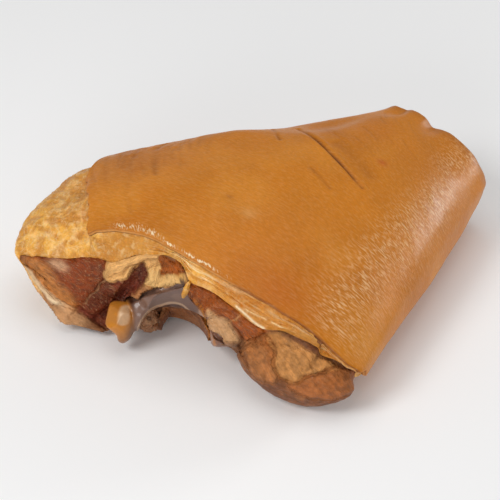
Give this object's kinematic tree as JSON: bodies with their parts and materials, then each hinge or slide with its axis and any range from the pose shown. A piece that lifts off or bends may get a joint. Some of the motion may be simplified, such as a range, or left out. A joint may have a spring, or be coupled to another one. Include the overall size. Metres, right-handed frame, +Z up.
{
  "type": "smoked ham hock",
  "caption": "Smoked ham hock lying on its flat side, with glossy golden rind, a cut face of fat and dark meat, an open elbow joint and a sawn shank end.",
  "frame": {"origin": "On the table, below the middle of the whole hock's bounding box.", "axes": "+Z up from the table, +Y from the joint's cut face towards the shank's sawn end, +X across the cut face to the right as it faces the viewer."},
  "size_m": [0.1726, 0.1754, 0.0667],
  "materials": {
    "rind_and_fat": "glossy golden-orange smoked rind over pale tan fat",
    "meat": "moist dark red-brown cured meat",
    "bone": "wet grey-brown joint cartilage, cream sawn bone at the back"
  },
  "bodies": {
    "root": {"rind_and_fat": "rind_and_fat", "meat": "meat", "bone": "bone"}
  },
  "joints": []
}
